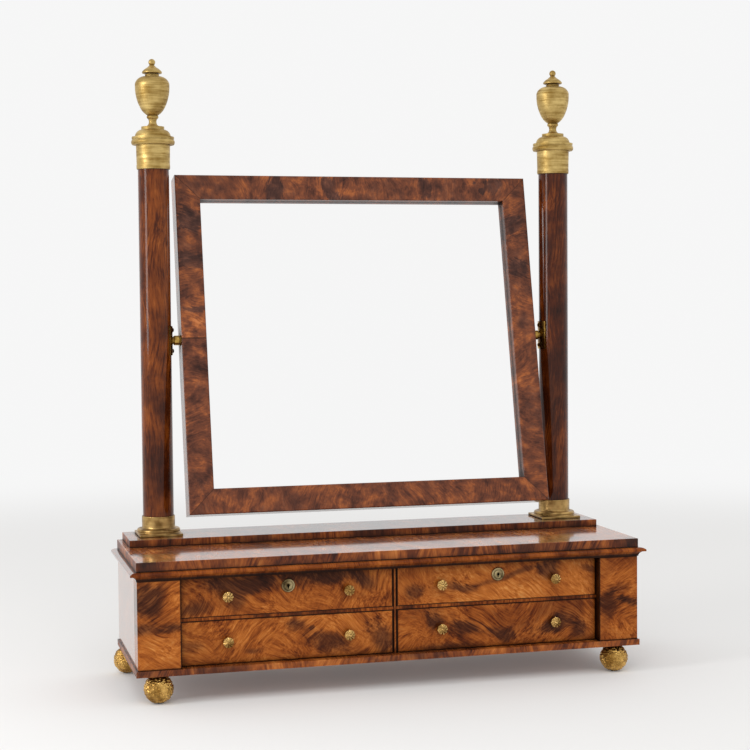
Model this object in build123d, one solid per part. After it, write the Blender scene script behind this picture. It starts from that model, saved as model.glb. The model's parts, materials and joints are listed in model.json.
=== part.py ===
from build123d import *
import math
import os

# A swing mirror for a dressing table: a tilting rectangular looking glass between
# two turned columns, on a low case with four drawers and brass ball feet.
# Millimetres and degrees. +X is the sitter's right when facing the glass, +Y is
# away from the sitter, +Z is up. The origin is on the table top, under the middle
# of the whole object's box.

os.makedirs("parts", exist_ok=True)

# ---- Driving dimensions -------------------------------------------------------

# Case
case_width = 620.0
case_depth = 195.0
side_thickness = 10.0
back_thickness = 6.0
back_rebate = 5.0               # how far the back is let into each side
corner_block_width = 50.5
corner_block_depth = 30.0
guide_thickness = 8.0           # inner walls that the drawers slide along
divider_thickness = 3.6
rail_thickness = 3.3            # board between upper and lower drawers
housing_depth = 2.0             # how far that board enters block and guide
upper_opening = 47.9
lower_opening = 52.8
bottom_thickness = 7.2
bottom_overhang = 2.0
subtop_thickness = 10.7
top_thickness = 11.1
top_overhang = 0.6
plank_thickness = 9.0           # set-back plank that carries the columns
plank_depth = 78.4
plank_side_inset = 6.0
edge_round = 0.8                # softened arrises of the polished boards

# Cornice moulding under the top, mitred round the front corners
cornice_reach = 8.5
cornice_nose = 2.0              # flat edge at its widest
cornice_nose_drop = 2.3         # from the top of the moulding to the nose
cornice_thumb_start = 3.0       # where the rounded top begins to fall
cornice_foot = 0.9              # fillet at its lower edge

# Ball feet
foot_diameter = 35.2
foot_flat = 0.4                 # depth filed off the ball, top and bottom
foot_stud_diameter = 6.0
foot_stud_length = 5.5
front_foot_side_inset = 25.5
front_foot_inset = 15.0
back_foot_side_inset = 9.0
back_foot_inset = 11.0

# Drawers
drawer_recess = 11.0            # behind the face of the corner blocks
front_thickness = 11.0
front_side_gap = 1.1
front_top_gap = 0.6
running_gap = 0.2               # under the drawer sides
stop_gap = 0.3                  # between drawer back and the back panel
drawer_wall = 6.0
drawer_wall_drop = 1.0          # sides are this much lower than the front
drawer_floor = 3.0
drawer_floor_rise = 3.0
drawer_groove = 2.0
dovetail_lap = 6.5
dovetail_slope = 9.0
dovetail_margin = 4.0           # shoulder above and below the tails
dovetail_pin = 7.0              # pin between two tails, at the shoulder line
drawer_travel = 140.0

# Knobs: petalled rosettes on a turned stem
knob_spacing = 146.0            # between the two knobs of a drawer
knob_diameter = 12.4
knob_projection = 10.4
knob_rose_diameter = 7.4
knob_rose_height = 1.3
knob_stem_diameter = 4.4
knob_shank_diameter = 2.8
knob_shank_length = 8.0
knob_petals = 9
knob_groove_start = 0.35        # radius and depth of a groove at the boss
knob_groove_end = 1.5           # the same, just beyond the rim
knob_swirl = 30.0               # how far each petal groove leans, degrees

# Locks of the upper drawers
keyhole_drop = 14.6             # from the drawer front's top edge
keyhole_diameter = 3.8
keyhole_slot = 1.5
keyhole_length = 3.9            # from the keyhole's centre to the slot's end
escutcheon_diameter = 15.8
escutcheon_proud = 1.6
escutcheon_rim = 2.0            # width of the raised rim
escutcheon_dish = 1.1           # depth of the channel inside the rim
escutcheon_boss_diameter = 9.0  # raised disc round the keyhole
escutcheon_boss_drop = 0.3      # how far the disc lies below the rim
escutcheon_collar_diameter = 10.4
escutcheon_collar_depth = 3.0
lock_width = 34.0
lock_height = 26.0
lock_face = 3.6                 # wood left in front of the lock
lock_wall = 1.0
lock_plate_margin = 4.0
lock_plate_height = 30.0
lock_plate_thickness = 1.2
lock_strip_thickness = 1.6      # brass strip let into the drawer's top edge
lock_pin_diameter = 1.2
bolt_width = 14.0
bolt_height = 10.0
bolt_gap = 0.4
bolt_sink = 0.2
bolt_throw = 4.0
bolt_notch = 4.0
strike_clearance = 1.0
strike_depth = 5.5

# Columns
column_side_inset = 47.5        # from the case's side to the column's axis
column_back_inset = 33.0        # from the case's back to the column's axis
column_diameter = 38.2
tenon_diameter = 16.0
tenon_depth = 8.0               # how far the tenon enters the top board
seat_gap = 0.05                 # radial, round every turned piece in its seat

# Cast base of each column
plinth_width = 54.5
plinth_height = 3.4
plinth_corner = 2.0
base_torus_diameter = 54.0
base_torus_height = 5.4
base_cove_height = 1.2
drum_diameter = 41.4
drum_height = 14.2

# Turned capital
sleeve_height = 30.0
sleeve_foot_diameter = 40.4
sleeve_bead_diameter = 41.3
sleeve_bead_height = 6.0
sleeve_top_diameter = 41.8
sleeve_bore_depth = 34.0
abacus_diameter = 53.4
abacus_height = 6.2
abacus_groove = 1.0
abacus_fillet_diameter = 51.8
abacus_fillet_height = 2.4
dome_foot_diameter = 44.0
dome_height = 8.8
step_diameter = 28.2
step_height = 3.8
crown_height = 2.6

# Urn finial and its lid
stem_foot_diameter = 11.4
stem_waist_diameter = 9.4
stem_height = 7.0
knop_diameter = 14.4
knop_height = 4.2
urn_foot_diameter = 12.6
urn_diameter = 42.2
urn_cup_diameter = 28.4
urn_cup_height = 8.0            # from the knop to where the cup turns upright
urn_cup_bulge = 0.7
urn_rise = 33.5                 # from the knop to the widest part
urn_belly = 1.6                 # bulge of the urn's side beyond a straight line
urn_band = 5.2                  # straight part at the widest place
urn_shoulder_height = 8.5
urn_shoulder_diameter = 24.8
urn_shoulder_bulge = 1.7
urn_neck_diameter = 16.4
urn_neck_height = 3.2
urn_neck_bead = 0.6             # how far the bead round its upper half stands out
urn_collar_diameter = 13.6
urn_collar_height = 1.0
urn_wall = 2.4
urn_mouth_diameter = 8.0
urn_stud_diameter = 5.0
urn_stud_grip = 14.0            # how far the stud enters the column's end
lid_diameter = 24.4
lid_lip = 1.8
lid_dome_diameter = 13.6        # where the domed part turns hollow
lid_dome_height = 4.8
lid_dome_bulge = 0.4
lid_hollow_height = 3.8
lid_hollow_bulge = 0.3
lid_spigot_depth = 4.5
lid_ball_diameter = 8.4
lid_neck_diameter = 5.6

# Looking glass in its tilting frame
mirror_side_gap = 11.0          # from frame to column, each side
mirror_height = 428.0
member_width = 31.3
member_thickness = 30.0
member_lip_depth = 11.0         # wood in front of the glass
member_lip_width = 6.0          # wood over the edge of the glass
member_round = 1.6              # softened front edges
glass_thickness = 4.0
glass_gap = 0.5
backboard_thickness = 8.0
backboard_bevel = 5.0
backboard_edge = 3.0            # thickness left at the bevelled edge
mirror_tilt = 12.2              # top leans back, as it stands
pivot_above_centre = 5.0
swing_clearance = 21.5          # between the swinging frame and the plank
column_above_frame = 2.2        # capital starts this much above the upright frame

# Pivots
pivot_plate_height = 36.0
pivot_plate_angle = 38.0        # half the arc that the plate wraps
pivot_plate_thickness = 1.6
pivot_spool_diameter = 12.2
pivot_pin_diameter = 6.0
pivot_pin_grip = 13.0           # how far the pin enters the stile
pivot_tail_diameter = 5.0
pivot_tail_length = 12.0
pivot_running_gap = 0.05        # radial, pin in bush
pivot_end_gap = 0.4             # between spool and bush
bush_flange_diameter = 14.0
bush_flange_thickness = 1.2
bush_diameter = 9.2
bush_length = 14.0
pivot_screw_offset = 13.0
pivot_screw_diameter = 2.4
pivot_screw_length = 10.0
pivot_screw_head_diameter = 6.4
pivot_screw_head_height = 1.9

# ---- Worked-out places --------------------------------------------------------

half_width = case_width / 2
foot_height = foot_diameter - 2 * foot_flat
case_bottom = foot_height + bottom_thickness
rail_bottom_z = case_bottom + lower_opening
rail_top_z = rail_bottom_z + rail_thickness
case_top = rail_top_z + upper_opening
top_bottom = case_top + subtop_thickness
plank_bottom = top_bottom + top_thickness
plank_top = plank_bottom + plank_thickness

column_x = half_width - column_side_inset
column_radius = column_diameter / 2
mirror_width = 2 * (column_x - column_radius - mirror_side_gap)
mirror_above_pivot = mirror_height / 2 - pivot_above_centre
mirror_below_pivot = mirror_height / 2 + pivot_above_centre
swing_radius = math.hypot(mirror_below_pivot, member_thickness / 2)
pivot_z = plank_top + swing_clearance + swing_radius
base_height = plinth_height + base_torus_height + base_cove_height + drum_height
capital_z = pivot_z + mirror_above_pivot + column_above_frame

# Depths are counted from the face of the corner blocks, then moved so that the
# origin lies under the middle of the whole: cornice in front, tilted frame behind.
column_setback = case_depth - column_back_inset
tilt = math.radians(mirror_tilt)
frame_reach = (
    column_setback
    + mirror_above_pivot * math.sin(tilt)
    + member_thickness / 2 * math.cos(tilt)
)
block_face = -(frame_reach - cornice_reach) / 2
case_back = block_face + case_depth
back_inner = case_back - back_thickness
column_y = block_face + column_setback
plank_front = case_back - plank_depth
drawer_face = block_face + drawer_recess
front_inner = drawer_face + front_thickness
bay_outer = half_width - corner_block_width
bay_inner = divider_thickness / 2
bay_middle = (bay_outer + bay_inner) / 2
drawer_width = bay_outer - bay_inner - 2 * front_side_gap
drawer_back = back_inner - stop_gap
keyhole_z = case_top - front_top_gap - keyhole_drop


# ---- Helpers ------------------------------------------------------------------

def board(x_low, x_high, y_low, y_high, z_low, z_high):
    """A square-edged board between two corners."""
    middle = ((x_low + x_high) / 2, (y_low + y_high) / 2, (z_low + z_high) / 2)
    return Pos(*middle) * Box(x_high - x_low, y_high - y_low, z_high - z_low)


def turned(edges):
    """A turned piece: the closed outline, radius then height, spun about Z."""
    return revolve(Plane.XZ * make_face(edges), Axis.Z)


def rod(diameter, z_low, z_high):
    """An upright round bar on the Z axis."""
    return Pos(0, 0, (z_low + z_high) / 2) * Cylinder(diameter / 2, z_high - z_low)


def facing_front(piece):
    """Turn a piece made along +Z so that it points at the sitter."""
    return Rotation(90, 0, 0) * piece


def facing_inward(piece, sign):
    """Turn a piece made along +Z so that it points from a column at the glass."""
    return Rotation(0, -90 * sign, 0) * piece


def save(name, *solids):
    """Write one node, of one solid or of several separate ones."""
    node = solids[0] if len(solids) == 1 else Compound(children=list(solids))
    export_step(node, f"parts/{name}.step")


sides = (("left", -1), ("right", 1))


# ---- Case ---------------------------------------------------------------------

def foot_places():
    front_y = block_face + front_foot_inset
    back_y = case_back - back_foot_inset
    front_x = half_width - front_foot_side_inset
    back_x = half_width - back_foot_side_inset
    return {
        "front_left": (-front_x, front_y),
        "front_right": (front_x, front_y),
        "back_left": (-back_x, back_y),
        "back_right": (back_x, back_y),
    }


def ball_foot():
    """A brass ball with a stud; filed flat where it stands and where it is screwed."""
    ball = Pos(0, 0, foot_height / 2) * Sphere(foot_diameter / 2)
    reach = foot_diameter
    ball &= board(-reach, reach, -reach, reach, 0, foot_height)
    return ball + rod(foot_stud_diameter, foot_height - 1, foot_height + foot_stud_length)


def bottom_board():
    outer = half_width + bottom_overhang
    front = block_face - bottom_overhang
    piece = board(-outer, outer, front, case_back, foot_height, case_bottom)
    hole = rod(foot_stud_diameter + 2 * seat_gap, foot_height, foot_height + foot_stud_length)
    for x, y in foot_places().values():
        piece -= Pos(x, y, 0) * hole
    return piece


def side_panel(sign):
    """Right-hand panel behind its corner block, rebated for the back."""
    inner = half_width - side_thickness
    panel = board(inner, half_width, block_face + corner_block_depth, case_back, case_bottom, case_top)
    panel -= board(inner, inner + back_rebate, back_inner, case_back, case_bottom, case_top)
    return panel if sign > 0 else mirror(panel, about=Plane.YZ)


def back_panel():
    reach = half_width - side_thickness + back_rebate
    return board(-reach, reach, back_inner, case_back, case_bottom, case_top)


def rail_housing():
    """The space that a rail's end takes in the right-hand block and guide."""
    return board(bay_outer, bay_outer + housing_depth, drawer_face, back_inner, rail_bottom_z, rail_top_z)


def corner_block(sign):
    block = board(bay_outer, half_width, block_face, block_face + corner_block_depth, case_bottom, case_top)
    upright = block.edges().filter_by(Axis.Z).group_by(Axis.Y)[0]
    block = fillet(upright, edge_round) - rail_housing()
    return block if sign > 0 else mirror(block, about=Plane.YZ)


def drawer_guide(sign):
    outer = bay_outer + guide_thickness
    guide = board(bay_outer, outer, block_face + corner_block_depth, back_inner, case_bottom, case_top)
    guide -= rail_housing()
    return guide if sign > 0 else mirror(guide, about=Plane.YZ)


def dust_boards():
    reach = bay_outer + housing_depth
    right = board(bay_inner, reach, drawer_face, back_inner, rail_bottom_z, rail_top_z)
    return mirror(right, about=Plane.YZ), right


def subtop():
    """Carcass top with the two mortises that the lock bolts rise into."""
    piece = board(-half_width, half_width, block_face, case_back, case_top, top_bottom)
    low, high = bolt_span()
    half = bolt_width / 2 + strike_clearance
    for _, sign in sides:
        x = sign * bay_middle
        piece -= board(
            x - half, x + half, low - strike_clearance, high + strike_clearance,
            case_top, case_top + strike_depth,
        )
    return piece


def column_mortises():
    hole = rod(tenon_diameter + 2 * seat_gap, plank_bottom - tenon_depth, plank_top)
    return [Pos(sign * column_x, column_y, 0) * hole for _, sign in sides]


def polished_slab(half_length, front, bottom, top):
    """A board with its upper front and side arrises softened, flush behind."""
    slab = board(-half_length, half_length, front, case_back, bottom, top)
    upper = slab.faces().sort_by(Axis.Z)[-1].edges().sort_by(Axis.Y)[:-1]
    slab = fillet(upper, edge_round)
    for mortise in column_mortises():
        slab -= mortise
    return slab


def cornice_outline():
    """Reach outwards, then height above the moulding's foot."""
    nose_top = subtop_thickness - cornice_nose_drop
    nose_low = nose_top - cornice_nose
    thumb_start = (cornice_thumb_start, subtop_thickness)
    cove_bulge = (cornice_reach * 0.32, nose_low * 0.66)
    return (
        Line((0, 0), (cornice_foot, 0))
        + Line((cornice_foot, 0), (cornice_foot, cornice_foot))
        + ThreePointArc((cornice_foot, cornice_foot), cove_bulge, (cornice_reach - cornice_foot, nose_low))
        + Line((cornice_reach - cornice_foot, nose_low), (cornice_reach, nose_low))
        + Line((cornice_reach, nose_low), (cornice_reach, nose_top))
        + TangentArc(thumb_start, (cornice_reach, nose_top), tangent=(1, 0))
        + Line(thumb_start, (0, subtop_thickness))
        + Line((0, subtop_thickness), (0, 0))
    )


def cornice_length(origin, outwards, along, length):
    """The moulding run out along one edge, with its foot line at the origin."""
    section = Plane(origin=origin, x_dir=outwards, z_dir=along) * make_face(cornice_outline())
    return extrude(section, length)


def mitre_wedge(front_piece):
    """Plan shape that keeps the front length, or the right-hand return."""
    far = cornice_reach * 2
    right, left = half_width, -half_width
    if front_piece:
        corners = [
            (left, block_face), (right, block_face),
            (right + far, block_face - far), (left - far, block_face - far),
        ]
    else:
        corners = [
            (right, block_face), (right, case_back),
            (right + far, case_back), (right + far, block_face - far),
        ]
    plan = make_face(Polyline(*corners, close=True))
    return extrude(Plane.XY.offset(case_top - 1) * plan, subtop_thickness + 2)


def cornice_front():
    start = (half_width + cornice_reach, block_face, case_top)
    run = cornice_length(start, (0, -1, 0), (-1, 0, 0), case_width + 2 * cornice_reach)
    return run & mitre_wedge(True)


def cornice_return(sign):
    start = (half_width, case_back, case_top)
    run = cornice_length(start, (1, 0, 0), (0, -1, 0), case_depth + cornice_reach)
    piece = run & mitre_wedge(False)
    return piece if sign > 0 else mirror(piece, about=Plane.YZ)


# ---- Drawers ------------------------------------------------------------------

def tail_outlines(bottom, height, line, lap):
    """Two dovetails on a vertical shoulder line; lap is signed along Y."""
    tail = (height - 2 * dovetail_margin - dovetail_pin) / 2
    flare = abs(lap) * math.tan(math.radians(dovetail_slope))
    outlines = []
    for low in (bottom + dovetail_margin, bottom + dovetail_margin + tail + dovetail_pin):
        high = low + tail
        outlines.append([(line, low), (line + lap, low - flare), (line + lap, high + flare), (line, high)])
    return outlines


def tail_solid(outline, x_low):
    """One tail as thick as a drawer side, starting at x_low."""
    plan = Plane.YZ.offset(x_low) * make_face(Polyline(*outline, close=True))
    return extrude(plan, drawer_wall)


def drawer_tails(x, bottom, height):
    """All tails of a drawer: into the front, and through the back."""
    back_line = drawer_back - drawer_wall
    tails = []
    for x_low in (x - drawer_width / 2, x + drawer_width / 2 - drawer_wall):
        for outline in tail_outlines(bottom, height, front_inner, -dovetail_lap):
            tails.append(tail_solid(outline, x_low))
        for outline in tail_outlines(bottom, height, back_line, drawer_wall):
            tails.append(tail_solid(outline, x_low))
    return tails


def drawer_floor_board(x, bottom):
    reach = drawer_width / 2 - drawer_wall + drawer_groove
    low = bottom + drawer_floor_rise
    return board(x - reach, x + reach, front_inner - drawer_groove, drawer_back, low, low + drawer_floor)


def drawer_front(x, bottom, top, has_lock):
    half = drawer_width / 2
    wall_height = top - drawer_wall_drop - bottom
    front = board(x - half, x + half, drawer_face, front_inner, bottom, top)
    for tail in drawer_tails(x, bottom, wall_height):
        front -= tail
    front -= drawer_floor_board(x, bottom)
    for place in knob_places(x, bottom, top):
        front -= place * facing_front(rod(knob_shank_diameter + 2 * seat_gap, -knob_shank_length, 0))
    if has_lock:
        for cut in lock_cuts(x):
            front -= cut
    return front


def drawer_box(x, bottom, top):
    """Two sides with their tails, the back between them, and the floor."""
    half = drawer_width / 2
    height = top - drawer_wall_drop - bottom
    floor_top = bottom + drawer_floor_rise + drawer_floor
    tails = drawer_tails(x, bottom, height)
    floor = drawer_floor_board(x, bottom)
    back_line = drawer_back - drawer_wall
    back = board(x - half, x + half, back_line, drawer_back, floor_top, top - drawer_wall_drop)
    walls = []
    for x_low in (x - half, x + half - drawer_wall):
        wall = board(x_low, x_low + drawer_wall, front_inner, back_line, bottom, top - drawer_wall_drop)
        for tail in tails:
            if abs(tail.bounding_box().min.X - x_low) < drawer_wall / 2:
                wall += tail
        walls.append(wall - floor)
    for tail in tails:
        back -= tail
    return walls[0], walls[1], back, floor


def knob_places(x, bottom, top):
    height = (bottom + top) / 2
    return [Pos(x + s * knob_spacing / 2, drawer_face, height) for s in (-1, 1)]


def rosette_knob():
    """Stem, petalled head and wood-screw shank, pointing at the sitter."""
    r_rose, r_stem, r_head = knob_rose_diameter / 2, knob_stem_diameter / 2, knob_diameter / 2
    neck_top = knob_projection * 0.42
    rim_low = knob_projection * 0.6
    rim_top = knob_projection * 0.74
    boss, boss_z = r_head * 0.28, knob_projection * 0.93
    outline = (
        Line((0, 0), (r_rose, 0))
        + ThreePointArc((r_rose, 0), (r_rose * 0.86, knob_rose_height * 0.8), (r_stem, knob_rose_height))
        + Line((r_stem, knob_rose_height), (r_stem, neck_top))
        + Line((r_stem, neck_top), (r_head, rim_low))
        + Line((r_head, rim_low), (r_head, rim_top))
        + Line((r_head, rim_top), (boss, boss_z))
        + Line((boss, boss_z), (boss * 0.7, knob_projection))
        + Line((boss * 0.7, knob_projection), (0, knob_projection))
        + Line((0, knob_projection), (0, 0))
    )
    knob = turned(outline)
    # Each groove is a slim cone laid down the sloping face, from boss to rim.
    fall = math.degrees(math.atan2(boss_z - rim_top, r_head - boss))
    groove = Pos(0, 0, r_head / 2) * Cone(knob_groove_start, knob_groove_end, r_head)
    groove = Pos(boss, 0, boss_z) * Rotation(0, 0, knob_swirl) * Rotation(0, 90 + fall, 0) * groove
    for i in range(knob_petals):
        knob -= Rotation(0, 0, i * 360 / knob_petals) * groove
    knob += rod(knob_shank_diameter, -knob_shank_length, 0.5)
    return facing_front(knob)


# ---- Locks --------------------------------------------------------------------

def keyhole(clearance, depth):
    """Round hole with a slot below it, cut along +Z from the origin."""
    radius = keyhole_diameter / 2 + clearance
    half_slot = keyhole_slot / 2 + clearance
    slot_end = -(keyhole_length + clearance)
    hole = rod(2 * radius, 0, depth)
    return hole + board(-half_slot, half_slot, slot_end, 0, 0, depth)


def keyhole_cut(x, y_low, y_high, clearance):
    cutter = facing_front(keyhole(clearance, y_high - y_low))
    return Pos(x, y_high, keyhole_z) * cutter


def escutcheon(x):
    """Raised ring, a channel and a disc that the keyhole is cut in, with a collar behind."""
    outer = escutcheon_diameter / 2
    collar = escutcheon_collar_diameter / 2
    dish = outer - escutcheon_rim
    floor = escutcheon_proud - escutcheon_dish
    boss = escutcheon_boss_diameter / 2
    boss_top = escutcheon_proud - escutcheon_boss_drop
    ring = (
        Line((0, -escutcheon_collar_depth), (collar, -escutcheon_collar_depth))
        + Line((collar, -escutcheon_collar_depth), (collar, 0))
        + Line((collar, 0), (outer, 0))
        + ThreePointArc((outer, 0), (outer - escutcheon_rim * 0.35, escutcheon_proud), (dish, floor))
        + Line((dish, floor), (boss + 0.2, floor))
        + Line((boss + 0.2, floor), (boss, boss_top))
        + Line((boss, boss_top), (0, boss_top))
        + Line((0, boss_top), (0, -escutcheon_collar_depth))
    )
    body = Pos(x, drawer_face, keyhole_z) * facing_front(turned(ring))
    return body - keyhole_cut(x, drawer_face - escutcheon_proud, drawer_face + escutcheon_collar_depth, 0)


def bolt_span():
    """Front and back of the bolt."""
    return (
        drawer_face + lock_face + lock_wall + bolt_gap,
        front_inner - lock_plate_thickness - bolt_gap,
    )


def lock_body_box(x, inset):
    """The lock's case, or with an inset the space inside it."""
    half = lock_width / 2 - inset
    top = case_top - front_top_gap - lock_strip_thickness
    low = case_top - front_top_gap - lock_height + inset
    return board(x - half, x + half, drawer_face + lock_face + inset, front_inner - lock_plate_thickness, low, top)


def lock_plates(x):
    """Back plate and top strip."""
    half = lock_width / 2 + lock_plate_margin
    top = case_top - front_top_gap
    plate = board(
        x - half, x + half, front_inner - lock_plate_thickness, front_inner, top - lock_plate_height, top
    )
    strip = board(x - half, x + half, drawer_face + lock_face, front_inner, top - lock_strip_thickness, top)
    return plate + strip


def lock_cuts(x):
    """Everything that is let into the drawer front for the lock and its escutcheon."""
    collar = rod(escutcheon_collar_diameter + 2 * seat_gap, -escutcheon_collar_depth, 0)
    return [
        lock_body_box(x, 0),
        lock_plates(x),
        keyhole_cut(x, drawer_face, drawer_face + lock_face, 0.3),
        Pos(x, drawer_face, keyhole_z) * facing_front(collar),
    ]


def lock_case(x):
    """Box, plate and strip, with the slot for the bolt and the pin for a piped key."""
    low, high = bolt_span()
    half = bolt_width / 2 + bolt_gap
    case = lock_body_box(x, 0) + lock_plates(x) - lock_body_box(x, lock_wall)
    case -= board(
        x - half, x + half, low - bolt_gap, high + bolt_gap,
        case_top - front_top_gap - lock_strip_thickness * 2, case_top,
    )
    case -= keyhole_cut(x, drawer_face + lock_face, drawer_face + lock_face + lock_wall, 0)
    pin_length = front_inner - lock_plate_thickness - drawer_face - lock_wall
    pin = facing_front(rod(lock_pin_diameter, -lock_plate_thickness / 2, pin_length))
    return case + Pos(x, front_inner - lock_plate_thickness, keyhole_z) * pin


def lock_bolt(x):
    low, high = bolt_span()
    top = case_top - front_top_gap - bolt_sink
    bolt = board(x - bolt_width / 2, x + bolt_width / 2, low, high, top - bolt_height, top)
    talon = facing_front(rod(bolt_notch, -(high - low), high - low))
    return bolt - Pos(x, (low + high) / 2, top - bolt_height) * talon


# ---- Columns ------------------------------------------------------------------

def column_base():
    """One casting: square plinth, torus and a drum that the shaft stands in."""
    half = plinth_width / 2
    plinth = board(-half, half, -half, half, 0, plinth_height)
    plinth = fillet(plinth.edges().filter_by(Axis.Z), plinth_corner)
    torus = base_torus_diameter / 2
    drum = drum_diameter / 2
    torus_low, torus_top = plinth_height, plinth_height + base_torus_height
    cove_top = torus_top + base_cove_height
    top = base_height
    lip = 0.6
    rise = base_torus_height / 2
    outline = (
        Line((0, torus_low), (torus - 1.2, torus_low))
        + ThreePointArc((torus - 1.2, torus_low), (torus, torus_low + rise * 0.8), (torus - 2.4, torus_top))
        + Line((torus - 2.4, torus_top), (torus - 4.2, torus_top))
        + ThreePointArc(
            (torus - 4.2, torus_top), (drum + 0.6, torus_top + base_cove_height * 0.35), (drum, cove_top)
        )
        + Line((drum, cove_top), (drum, top - lip))
        + Line((drum, top - lip), (drum - lip, top))
        + Line((drum - lip, top), (0, top))
        + Line((0, top), (0, torus_low))
    )
    casting = plinth + turned(outline)
    casting -= rod(column_diameter + 2 * seat_gap, plinth_height, top)
    return casting - rod(tenon_diameter + 2 * seat_gap, 0, plinth_height)


def column(sign):
    """Plain turned shaft with a tenon below, bored for the pivot and the finial."""
    foot = plank_top + plinth_height
    head = capital_z + sleeve_bore_depth
    shaft = rod(column_diameter, foot, head)
    shaft += rod(tenon_diameter, plank_bottom - tenon_depth, foot)
    shaft -= rod(urn_stud_diameter + 2 * seat_gap, head - urn_stud_grip, head)
    reach = column_radius + 1
    depth = column_radius - pivot_tail_length
    pivot_hole = facing_inward(rod(pivot_tail_diameter + 2 * seat_gap, depth, reach), sign)
    shaft -= Pos(0, 0, pivot_z) * pivot_hole
    for height in (pivot_screw_offset, -pivot_screw_offset):
        screw_depth = column_radius + pivot_plate_thickness - pivot_screw_length
        screw_hole = facing_inward(rod(pivot_screw_diameter + 2 * seat_gap, screw_depth, reach), sign)
        shaft -= Pos(0, 0, pivot_z + height) * screw_hole
    return Pos(sign * column_x, column_y, 0) * shaft


def capital():
    """Sleeve over the column's head, round abacus, dome and a stepped crown."""
    foot, bead, top = sleeve_foot_diameter / 2, sleeve_bead_diameter / 2, sleeve_top_diameter / 2
    abacus, fillet_r = abacus_diameter / 2, abacus_fillet_diameter / 2
    dome, step, stem = dome_foot_diameter / 2, step_diameter / 2, stem_foot_diameter / 2
    abacus_top = sleeve_height + abacus_height
    fillet_low = abacus_top + abacus_groove
    dome_low = fillet_low + abacus_fillet_height
    step_low = dome_low + dome_height
    step_top = step_low + step_height
    crown = step_top + crown_height
    lip = 1.2
    outline = (
        Line((0, 0), (foot, 0))
        + ThreePointArc((foot, 0), (bead, sleeve_bead_height / 2), (foot + 0.2, sleeve_bead_height))
        + Line((foot + 0.2, sleeve_bead_height), (top, sleeve_height))
        + Line((top, sleeve_height), (abacus - lip, sleeve_height))
        + ThreePointArc(
            (abacus - lip, sleeve_height), (abacus, sleeve_height + abacus_height / 2), (abacus - lip, abacus_top)
        )
        + Line((abacus - lip, abacus_top), (abacus - lip, fillet_low))
        + Line((abacus - lip, fillet_low), (fillet_r, fillet_low))
        + Line((fillet_r, fillet_low), (fillet_r, dome_low))
        + Line((fillet_r, dome_low), (dome, dome_low))
        + ThreePointArc((dome, dome_low), (dome * 0.93, dome_low + dome_height * 0.58), (step + lip, step_low))
        + Line((step + lip, step_low), (step, step_low))
        + Line((step, step_low), (step, step_top))
        + ThreePointArc((step, step_top), (step * 0.55, step_top + crown_height * 0.32), (stem, crown))
        + Line((stem, crown), (0, crown))
        + Line((0, crown), (0, 0))
    )
    piece = turned(outline) - rod(column_diameter + 2 * seat_gap, 0, sleeve_bore_depth)
    return piece - rod(urn_stud_diameter + 2 * seat_gap, sleeve_bore_depth, crown)


capital_height = (
    sleeve_height + abacus_height + abacus_groove + abacus_fillet_height
    + dome_height + step_height + crown_height
)
urn_foot_z = stem_height + knop_height
urn_wide_z = urn_foot_z + urn_rise
urn_shoulder_z = urn_wide_z + urn_band
urn_neck_z = urn_shoulder_z + urn_shoulder_height
urn_collar_z = urn_neck_z + urn_neck_height
urn_top = urn_collar_z + urn_collar_height


def bulged(start, end, bulge):
    """An arc from start to end that stands out by bulge, away from the axis."""
    across, up = end[0] - start[0], end[1] - start[1]
    length = math.hypot(across, up)
    middle_r = (start[0] + end[0]) / 2 + bulge * up / length
    middle_z = (start[1] + end[1]) / 2 - bulge * across / length
    return ThreePointArc(start, (middle_r, middle_z), end)


def urn():
    """Hollow turned urn on a waisted stem, with the stud that holds it down."""
    stem, waist, knop = stem_foot_diameter / 2, stem_waist_diameter / 2, knop_diameter / 2
    foot, wide = urn_foot_diameter / 2, urn_diameter / 2
    shoulder, neck, collar = urn_shoulder_diameter / 2, urn_neck_diameter / 2, urn_collar_diameter / 2
    cup, bore = urn_cup_diameter / 2, urn_mouth_diameter / 2
    cup_z = urn_foot_z + urn_cup_height
    bead_z = urn_neck_z + urn_neck_height / 2
    outer = (
        Line((0, 0), (stem, 0))
        + ThreePointArc((stem, 0), (waist, stem_height * 0.4), (stem, stem_height))
        + bulged((stem, stem_height), (foot, urn_foot_z), knop - (stem + foot) / 2)
        + bulged((foot, urn_foot_z), (cup, cup_z), urn_cup_bulge)
        + bulged((cup, cup_z), (wide, urn_wide_z), urn_belly)
        + Line((wide, urn_wide_z), (wide, urn_shoulder_z))
        + bulged((wide, urn_shoulder_z), (shoulder, urn_neck_z), urn_shoulder_bulge)
        + Line((shoulder, urn_neck_z), (neck, urn_neck_z))
        + Line((neck, urn_neck_z), (neck, bead_z))
        + bulged((neck, bead_z), (neck, urn_collar_z), urn_neck_bead)
        + Line((neck, urn_collar_z), (collar, urn_collar_z))
        + Line((collar, urn_collar_z), (collar, urn_top))
        + Line((collar, urn_top), (0, urn_top))
        + Line((0, urn_top), (0, 0))
    )
    floor = urn_foot_z + 3 * urn_wall
    roof = urn_neck_z - urn_wall
    hollow = (
        Line((0, floor), (cup - 2 * urn_wall, floor))
        + bulged((cup - 2 * urn_wall, floor), (wide - urn_wall, urn_wide_z), urn_belly)
        + Line((wide - urn_wall, urn_wide_z), (wide - urn_wall, urn_shoulder_z))
        + Line((wide - urn_wall, urn_shoulder_z), (shoulder, roof))
        + Line((shoulder, roof), (0, roof))
        + Line((0, roof), (0, floor))
    )
    piece = turned(outer) - turned(hollow)
    piece -= rod(2 * bore, urn_neck_z - 2 * urn_wall, urn_top)
    stud_low = sleeve_bore_depth - capital_height - urn_stud_grip + 1
    return piece + rod(urn_stud_diameter, stud_low, stem_height / 2)


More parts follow.
